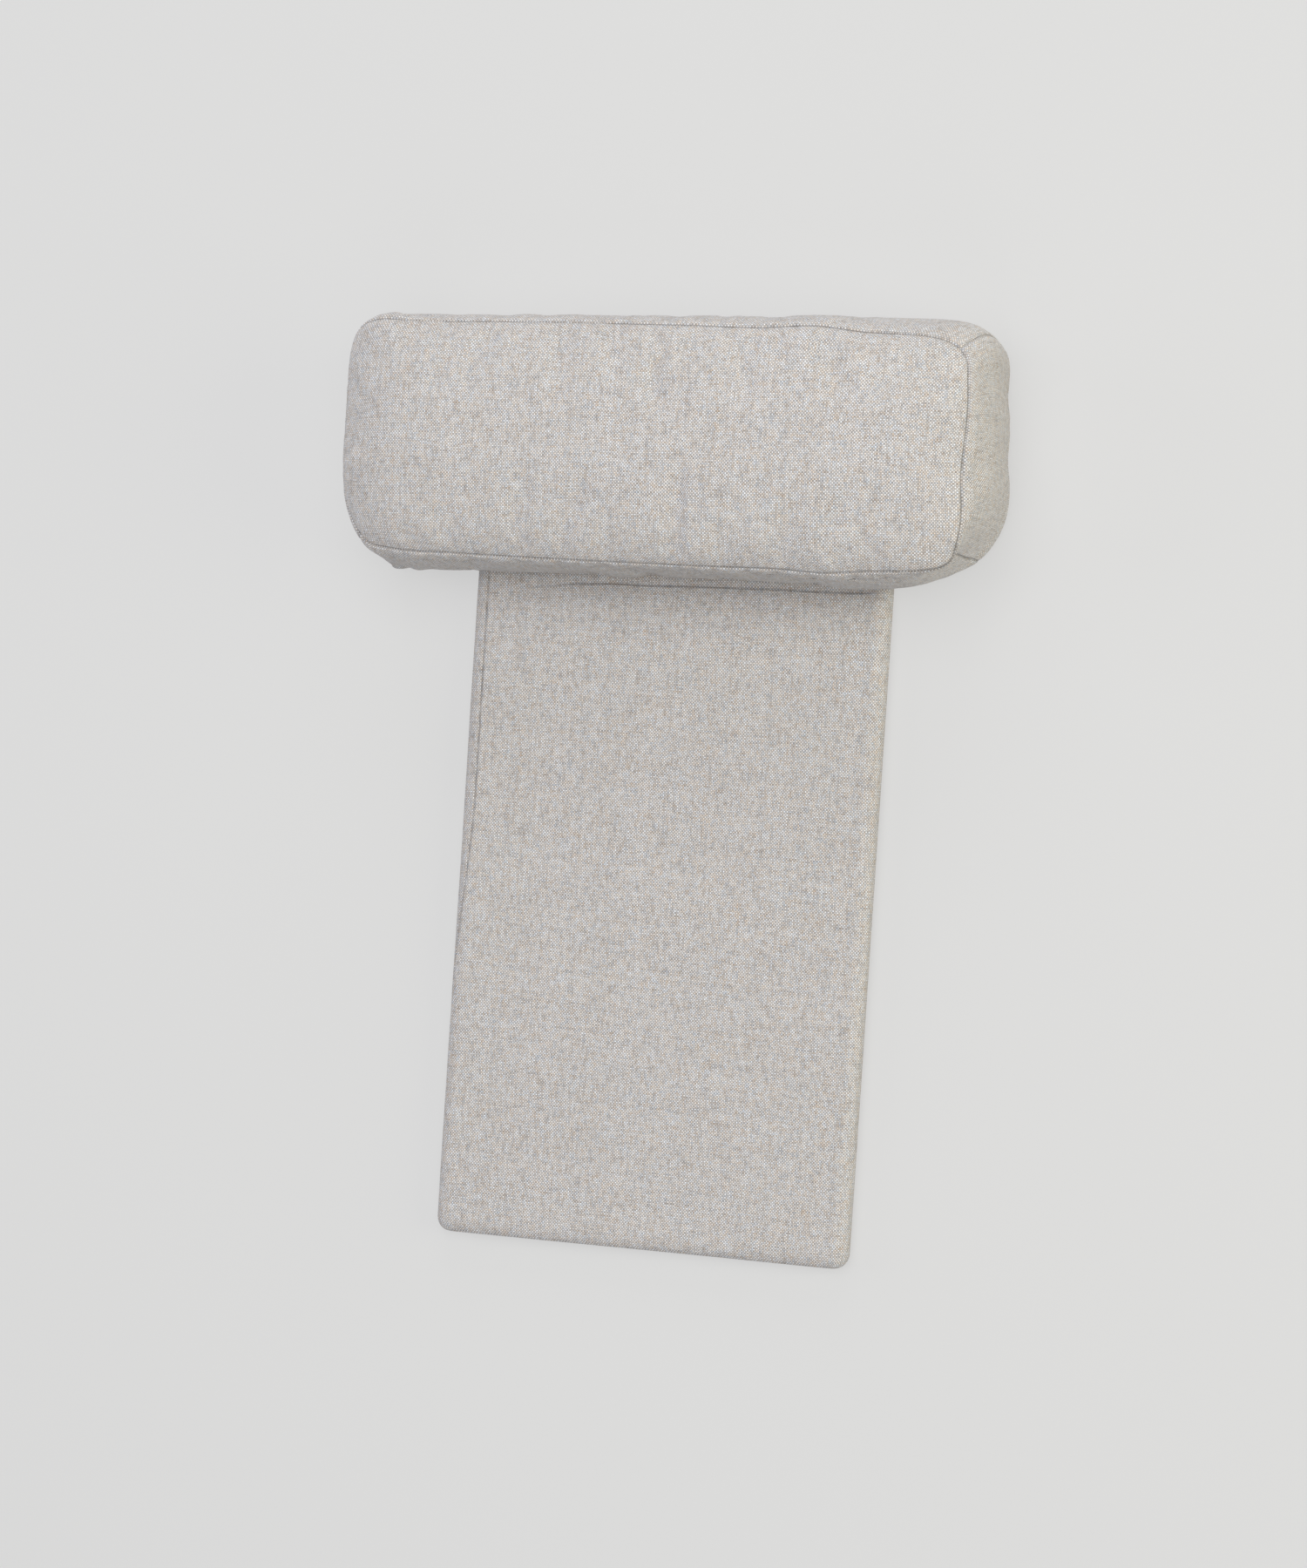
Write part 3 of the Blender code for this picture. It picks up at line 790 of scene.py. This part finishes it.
def cubic_blend(coarse, row, column):
    """Values of a coarse net, closed round its columns, at fractional rows and columns."""
    rows, columns = coarse.shape[:2]
    row_cell = np.clip(np.floor(row).astype(int), 0, rows - 2)
    column_cell = np.floor(column).astype(int)
    row_weight, column_weight = cubic_weights(row - row_cell), cubic_weights(column - column_cell)
    total = 0
    for a in range(4):
        for b in range(4):
            near = coarse[np.clip(row_cell + a - 1, 0, rows - 1), (column_cell + b - 1) % columns]
            total = total + near * (row_weight[a] * column_weight[b])[..., None]
    return total


def spread_round(values, passes):
    """Blur a net round its columns, with a 1-2-1 average again and again."""
    for _ in range(passes):
        values = (np.roll(values, 1, axis=1) + 2 * values + np.roll(values, -1, axis=1)) / 4
    return values


# %% Cushion cloth simulation
COARSE_STEP = 5.4 * MM
COVER_SLACK = 0.014
PRESSURE = 2.0
FOLD_CAP = 5 * MM
SMOOTHING_PASSES = 40
# Coarse rows on the face, on the strips and on the back.
SECTION_ROWS = (16, 20, 14)
FRONT_ROW = SECTION_ROWS[0]
BACK_ROW = SECTION_ROWS[0] + SECTION_ROWS[1]
# The folds fade in over these rows from the face's middle.
FOLDS_FADE_IN = (1, 7)
# The folds are weaker by these shares at the right end, along the top edge and at the corners.
FIRM_END, FIRM_TOP, FIRM_CORNER = 0.6, 0.5, 0.85
FIRM_END_FROM, FIRM_END_FULL = 195 * MM, 212 * MM
FIRM_TOP_FROM, FIRM_TOP_FULL = CUSHION_CENTRE_Y + 76 * MM, CUSHION_CENTRE_Y + 88 * MM
FIRM_CORNER_WIDTH = 34 * MM

section = (from_front > 0).astype(int) + (from_back > 0)
section_start = np.choose(section, [0 * over, front_seam + 0 * over, back_seam + 0 * over])
section_end = np.choose(section, [front_seam + 0 * over, back_seam + 0 * over, over[-1] + 0 * over])
row_place = (over - section_start) / (section_end - section_start) * np.choose(section, SECTION_ROWS)
row_place = row_place + np.choose(section, [0, FRONT_ROW, BACK_ROW])
column_length = round_it[row_place.shape[0] // 2, :-1]
coarse_count = round(round_it[row_place.shape[0] // 2, -1] / COARSE_STEP)
coarse_columns = np.unique(np.searchsorted(column_length, np.arange(coarse_count) * COARSE_STEP))
coarse_columns = coarse_columns[coarse_columns < core.size]
coarse_rows = np.arange(sum(SECTION_ROWS) + 1)
coarse_places = np.broadcast_to(coarse_rows[:, None].astype(float),
                                (coarse_rows.size, coarse_columns.size))
coarse = np.stack([
    along_columns(coarse_places, row_place[:, coarse_columns], cushion_points[:, coarse_columns, part])
    for part in range(3)
], axis=-1)
print("coarse net:", coarse.shape)

held = np.zeros(coarse.shape[:2])
held[[FRONT_ROW, BACK_ROW]] = 1
held[coarse[..., 2] < 1.0 * MM] = 1
coarse_corner = from_corner[:, coarse_columns]
nearest = np.abs(coarse_corner[over.shape[0] // 2]) < COARSE_STEP / 2
held[FRONT_ROW:BACK_ROW, nearest] = 1
swelling = filled_cover(coarse, held, COVER_SLACK, PRESSURE)
folds = swelling - spread_round(swelling, SMOOTHING_PASSES)
folds = folds * rise(coarse_rows, *FOLDS_FADE_IN)[:, None, None]
size = np.linalg.norm(folds, axis=-1, keepdims=True)
folds = folds * FOLD_CAP / np.maximum(size, FOLD_CAP)
print("swelling up to mm:", round(float(np.linalg.norm(swelling, axis=-1).max() / MM), 1),
      "folds up to mm:", round(float(size.max() / MM), 1))
column_place = np.interp(np.arange(core.size), np.append(coarse_columns, core.size),
                         np.arange(coarse_columns.size + 1))
fine_folds = cubic_blend(folds, row_place, np.broadcast_to(column_place, row_place.shape))
firm_end = 1 - FIRM_END * rise(cushion_points[..., :1], FIRM_END_FROM, FIRM_END_FULL)
firm_top = 1 - FIRM_TOP * rise(cushion_points[..., 1:2], FIRM_TOP_FROM, FIRM_TOP_FULL)
firm_corner = 1 - FIRM_CORNER * bell(from_corner, FIRM_CORNER_WIDTH)[..., None]
fine_folds = fine_folds * firm_end * firm_top * firm_corner
cushion_points = cushion_points + fine_folds * rise(cushion_points[..., 2:], 0.1 * MM, 4 * MM)

# %% [markdown]
# The seams. Two panels are sewn with their edges turned in, so the seam shows as a thin furrow,
# and the turned-in edges lie under the strip beside it and lift it by a little, about 9 mm wide.
# At the lower right corner the front seam is drawn open and shows as a wider furrow. Each furrow
# gets painted shade, which changes every few stitches and is lighter at the top right, where the
# seam lies closed.

# %% Cushion seams
FURROW_DEPTH = 1.0 * MM
FURROW_WIDTH = 0.8 * MM
ALLOWANCE_LIFT = 0.7 * MM
ALLOWANCE_WIDTH = 9 * MM
ALLOWANCE_STARTS = (0.8 * MM, 2.4 * MM)
ALLOWANCE_ENDS = (-ALLOWANCE_WIDTH - 2 * MM, -ALLOWANCE_WIDTH)
SHADE_CHANGE_SIZE = 7 * MM
FURROW_SHADE, FURROW_SHADE_CHANGE = 0.76, 0.24
OPEN_CORNER = np.array((201, 157, 105)) * MM
OPEN_REACH = 20 * MM
OPEN_WIDER, OPEN_DEEPER = 1.3, 0.5
CLOSED_CORNER = np.array((205, 303, 100)) * MM
CLOSED_REACH = 30 * MM
CLOSED_SHARE = 0.6

opened = bell(np.linalg.norm(cushion_points - OPEN_CORNER, axis=-1), OPEN_REACH)
front_width = FURROW_WIDTH * (1 + OPEN_WIDER * opened)
furrow = bell(from_front, front_width) * (1 + OPEN_DEEPER * opened) + bell(from_back, FURROW_WIDTH)
furrow = np.maximum(furrow, bell(from_corner, FURROW_WIDTH) * between)
lift = rise(from_front, *ALLOWANCE_STARTS) * rise(-from_front, *ALLOWANCE_ENDS)
lift = lift + rise(-from_back, *ALLOWANCE_STARTS) * rise(from_back, *ALLOWANCE_ENDS)
print("widest furrow in mm:", round(float(front_width.max() / MM), 2))

# %% Strip crease and surface
STRIP_CREASE_DEPTH = 0.7 * MM
STRIP_CREASE_WIDTH = 0.7 * MM
STRIP_CREASE_SHADE = 0.5
STRIP_CREASE_STARTS = (50 * MM, 80 * MM)
STRIP_CREASE_ENDS = (-190 * MM, -150 * MM)
SOFT_UNEVEN = 0.4 * MM
SOFT_UNEVEN_SIZE = 45 * MM

place_x = cushion_points[..., 0]
below_centre = -cushion_points[..., 1]
on_bottom = rise(below_centre, -CUSHION_CENTRE_Y + 60 * MM, -CUSHION_CENTRE_Y + 70 * MM)
creased = on_bottom * rise(place_x, *STRIP_CREASE_STARTS) * rise(-place_x, *STRIP_CREASE_ENDS)
strip_crease = bell(from_front - STRIP_CREASE_AT, STRIP_CREASE_WIDTH) * creased
change = ALLOWANCE_LIFT * lift - FURROW_DEPTH * furrow - STRIP_CREASE_DEPTH * strip_crease
change = change + SOFT_UNEVEN * smooth_noise(cushion_points, SOFT_UNEVEN_SIZE, 5)
off_floor = rise(cushion_points[..., 2], 0.2 * MM, 8 * MM)
direction = outward(cushion_points)
direction[0] = (0, 0, 1)
cushion_points = cushion_points + direction * (change * off_floor)[..., None]
# Painted shade: the furrows and the bottom strip's crease are darkened in the cloth's colour, less at
# the top right.
stitch_shade_change = smooth_noise(cushion_points, SHADE_CHANGE_SIZE, 23)
cushion_shade = furrow * (FURROW_SHADE + FURROW_SHADE_CHANGE * stitch_shade_change)
cushion_shade = np.maximum(cushion_shade, STRIP_CREASE_SHADE * strip_crease)
from_closed = np.linalg.norm(cushion_points - CLOSED_CORNER, axis=-1)
cushion_shade *= 1 - CLOSED_SHARE * bell(from_closed, CLOSED_REACH)
print("surface moved in mm:", np.round([change.min() / MM, change.max() / MM], 2))

# %% [markdown]
# The flat map. It says, in millimetres, which place of the flat cloth each point was cut from. The
# front and back panels are flat from above, and the strips are laid out along the cushion's girth.
# Each strip's map is shifted, so that the yarns don't run on across its corner seams.

# %% Cushion flat map and object
PANEL_SHIFT = 61.3 * MM


def corners_of(net):
    """For each quad of a net with one extra column, the values at its four corners."""
    return np.stack([net[:-1, :-1], net[1:, :-1], net[1:, 1:], net[:-1, 1:]], axis=2)


def closed(net):
    """Repeat the first column at the end."""
    return np.concatenate([net, net[:, :1]], axis=1)


rest = over[-1] - over
face_way = front_loop[:, :2] / np.linalg.norm(front_loop[:, :2], axis=-1, keepdims=True)
back_way = back_loop[:, :2] / np.linalg.norm(back_loop[:, :2], axis=-1, keepdims=True)
face_map = corners_of(closed(np.stack([core + face_way[:, 0] * over, face_way[:, 1] * over], axis=-1)))
back_map = corners_of(closed(np.stack([core + back_way[:, 0] * rest, back_way[:, 1] * rest], axis=-1)))
round_widest = np.broadcast_to(round_it[over.shape[0] // 2], round_it.shape)
strip_map = corners_of(np.stack([round_widest, closed(from_front)], axis=-1))
row_in = (from_front[:-1] + from_front[1:])[..., None, None] / 2
row_out = (from_back[:-1] + from_back[1:])[..., None, None] / 2
panel = np.searchsorted(corner_columns, np.arange(core.size), side="right")[None, :, None, None] % 4
off_face = np.where(row_out > 0, back_map, strip_map + panel * PANEL_SHIFT)
cushion_map = np.where(row_in < 0, face_map, off_face)
cushion = make_piece("cushion_cover", cushion_points, cushion_map / MM, cushion_shade, cushion_cloth)
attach(cushion, "root")
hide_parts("cushion")

# %% [markdown]
# The flap. One panel of the same cloth wraps a firm flat pad and closes with a stitched seam along
# the left edge. Its long edges are round. Across its length each section is a flat oval with
# superellipse ends. Near the cushion the flap bends: its cloth dips towards a soft, uneven crease
# and is sunk past it, where it goes under the cushion. Its top end is tucked into the cushion's
# rounded lower edge, as it is sewn in on the real one.

# %% Flap sizes
flap_low, flap_high = (np.array(corner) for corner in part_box("flap"))
FLAP_MIDDLE_X = (flap_low[0] + flap_high[0]) / 2
FLAP_WIDTH = flap_high[0] - flap_low[0]
FLAP_THICKNESS = flap_high[2] - flap_low[2]
EDGE_ROUNDING = 12 * MM
EDGE_FULLNESS = 2.3
CREASE_BELOW_CUSHION = 4.4 * MM
FREE_END_TURN = 0.0208
LOWEST_Y = CUSHION_CENTRE_Y - HALF_HEIGHT
TUCKED_UNDER = 9 * MM
FLAP_TOP_Y = flap_high[1] + TUCKED_UNDER - (HINGE_SLOPE + HALF_HEIGHT * CUSHION_TAPER) * FLAP_WIDTH / 2
print("flap in mm:", np.round((flap_high - flap_low) / MM, 1))

# %% Flap section
def flap_section():
    """Half of the section's outline, from the left edge over the front to the right edge.

    At its ends x = r cos^(2/n) and z = h sin^(2/n), with the rounding r and half the thickness h.
    """
    turn = np.linspace(0, np.pi / 2, 300)
    out = np.clip(np.cos(turn), 0, 1) ** (2 / EDGE_FULLNESS)
    above = np.sin(turn) ** (2 / EDGE_FULLNESS)
    straight = FLAP_WIDTH / 2 - EDGE_ROUNDING
    core = np.concatenate([np.full(turn.size, -straight), np.full(turn.size, straight)])
    out = np.concatenate([-out, out[::-1]])
    above = np.concatenate([above, above[::-1]])
    edge = np.column_stack([core + out * EDGE_ROUNDING, above * FLAP_THICKNESS / 2])
    length = np.concatenate([[0], np.cumsum(np.linalg.norm(np.diff(edge, axis=0), axis=1))])
    return core, out, above, length


section_core, section_out, section_above, section_length = flap_section()
HALF_ROUND = section_length[-1]
print("half way round the flap in mm:", round(float(HALF_ROUND / MM), 1))

# %% [markdown]
# The flap's net. Its rows run round the section, a few millimetres apart along the flap, close
# together at the rounded ends and closest at the crease. Its columns start at the left edge, and
# extra ones follow the stitched seam, which drifts in from the edge towards the cushion.

# %% Flap rows
END_ROWS = 14
BODY_ROWS = 190
turn = np.linspace(0, np.pi / 2, END_ROWS)
end_share = np.sin(turn) ** (2 / EDGE_FULLNESS)
end_place = EDGE_ROUNDING * (1 - np.clip(np.cos(turn), 0, 1) ** (2 / EDGE_FULLNESS))
crease_y = LOWEST_Y - CREASE_BELOW_CUSHION
near_crease = [np.arange(-13, -6, 1.0), np.arange(-6, 2, 0.35), np.arange(2, 4, 0.7)]
crease_rows = crease_y + np.concatenate(near_crease) * MM
body_rows = np.linspace(flap_low[1] + EDGE_ROUNDING, crease_rows[0], BODY_ROWS)[1:-1]
top_end = FLAP_TOP_Y - end_place[::-1]
crease_rows = crease_rows[crease_rows < top_end[0]]
rows_y = np.concatenate([flap_low[1] + end_place, body_rows, crease_rows, top_end])
share = np.concatenate([end_share, np.ones(rows_y.size - 2 * turn.size), end_share[::-1]])

# %% Flap net
SEAM_AT_TOP = 16.2 * MM
SEAM_AT_END = 3 * MM
SEAM_DRIFTS = (-0.20, -0.01)
EDGE_COLUMNS, FACE_COLUMNS = 5, 128
BEFORE_SEAM, PAST_SEAM = 2.6 * MM, 3.6 * MM
seam_place = SEAM_AT_END + (SEAM_AT_TOP - SEAM_AT_END) * rise(rows_y, *SEAM_DRIFTS)
front_places = np.concatenate([
    ramp(0 * seam_place, seam_place - BEFORE_SEAM, EDGE_COLUMNS),
    seam_place + BESIDE_SEAM[2:-1, None],
    ramp(seam_place + PAST_SEAM, HALF_ROUND + 0 * seam_place, FACE_COLUMNS),
])
back_places = np.concatenate([HALF_ROUND + 0 * seam_place[None],
                              2 * HALF_ROUND - front_places[:0:-1]])
section = np.concatenate([front_places, back_places]).T[:, ::-1]
print("flap net:", *section.shape, "rows and columns")

# %% Flap shape
# Its top follows the cushion's slope over the last 60 mm, and its free end is cut a little askew.
TOP_TILT_FROM, TOP_TILT_FULL = 60 * MM, 10 * MM
FREE_END_TILT = (100 * MM, 300 * MM)
folded = np.where(section > HALF_ROUND, 2 * HALF_ROUND - section, section)
side = np.where(section > HALF_ROUND, -1, 1)
section_x = np.interp(folded, section_length, section_core)
section_out_now = np.interp(folded, section_length, section_out)
above = side * np.interp(folded, section_length, section_above)
x = FLAP_MIDDLE_X + section_x + EDGE_ROUNDING * section_out_now * share[:, None]
near_hinge = rise(rows_y, crease_y - TOP_TILT_FROM, crease_y - TOP_TILT_FULL)[:, None]
near_free_end = rise(-rows_y, *FREE_END_TILT)[:, None]
tilt = (HINGE_SLOPE + HALF_HEIGHT * CUSHION_TAPER) * x * near_hinge
tilt = tilt + FREE_END_TURN * x * near_free_end
z = FLAP_THICKNESS / 2 * (1 + above * share[:, None])
flap_points = np.stack([x, rows_y[:, None] + tilt, z], axis=-1)
print("tilt up to mm:", round(float(np.abs(tilt).max() / MM), 1))

# %% Flap seam and crease
# Up to the crease the cloth dips over DIP_LENGTH, and past it rises again over SUNK_LENGTH.
CREASE_DEPTH = 3.2 * MM
CREASE_DIP = 2.2 * MM
DIP_LENGTH = 9 * MM
SUNK_LENGTH = 7 * MM
# Near its left end the crease curls away from the cushion, and it fades out at both ends.
CREASE_CURL = 4.5 * MM
CURL_FROM_MIDDLE = (70 * MM, 115 * MM)
LEFT_FADE = (-0.125, -0.07)
RIGHT_FADE = (-0.139, -0.134)
ON_FRONT = 0.9
CREASE_WANDER = 0.6 * MM
CREASE_WANDER_SIZE = 24 * MM
CREASE_SHADE, CREASE_SHADE_CHANGE = 0.5, 0.25
CREASE_SHADE_AT, CREASE_SHADE_WIDTH = 0.3 * MM, 0.8 * MM
FLAP_FURROW_SHARE = 0.7
FLAP_SHADE, FLAP_SHADE_CHANGE = 0.62, 0.38
PAD_UNEVEN = 0.35 * MM
PAD_UNEVEN_SIZE = 55 * MM

from_seam = section - seam_place[:, None]
flap_furrow = bell(from_seam, FURROW_WIDTH)
curl = CREASE_CURL * rise(FLAP_MIDDLE_X - x, *CURL_FROM_MIDDLE)
wander = CREASE_WANDER * smooth_noise(flap_points, CREASE_WANDER_SIZE, 37)
from_crease = rows_y[:, None] + curl - crease_y + wander
sunk = rise(from_crease, -0.5 * MM, 0.5 * MM)
fold = CREASE_DEPTH * sunk * np.exp(-np.clip(from_crease, 0, 1) / SUNK_LENGTH)
fold = fold + CREASE_DIP * (1 - sunk) * np.exp(np.clip(from_crease, -1, 0) / DIP_LENGTH)
fade = rise(x - FLAP_MIDDLE_X, *LEFT_FADE) * rise(FLAP_MIDDLE_X - x, *RIGHT_FADE)
fade = fade * (above > ON_FRONT)
change = -FURROW_DEPTH * FLAP_FURROW_SHARE * flap_furrow
uneven = PAD_UNEVEN * smooth_noise(flap_points, PAD_UNEVEN_SIZE, 15)
change = change + uneven * rise(above, 0.0, 0.5)
in_from_end = rise(share, 0, 0.6)[:, None]
change = change * rise(z, 0.2 * MM, 6 * MM) * in_from_end
flap_points = flap_points + outward(flap_points) * change[..., None]
flap_points[..., 2] -= fold * fade * in_from_end
# Painted shade: the flap's seam furrow and its crease under the cushion are darkened in the cloth's
# colour.
stitch_shade_change = smooth_noise(flap_points, SHADE_CHANGE_SIZE, 29)
flap_shade = flap_furrow * (FLAP_SHADE + FLAP_SHADE_CHANGE * stitch_shade_change)
crease_shade = CREASE_SHADE + CREASE_SHADE_CHANGE * smooth_noise(flap_points, SHADE_CHANGE_SIZE, 31)
in_crease = bell(from_crease - CREASE_SHADE_AT, CREASE_SHADE_WIDTH)
flap_shade = np.maximum(flap_shade, crease_shade * in_crease * fade)
print("crease up to mm:", round(float((fold * fade).max() / MM), 2))

# %% Flap flat map and object
columns_and_end = (rows_y.size, section.shape[1] + 1)
flap_map = np.stack([np.concatenate([section, np.zeros((rows_y.size, 1))], axis=1),
                     np.broadcast_to(rows_y[:, None], columns_and_end)], axis=-1)
flap = make_piece("flap_cover", flap_points, corners_of(flap_map) / MM, flap_shade, flap_cloth)
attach(flap, "root")
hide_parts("flap")
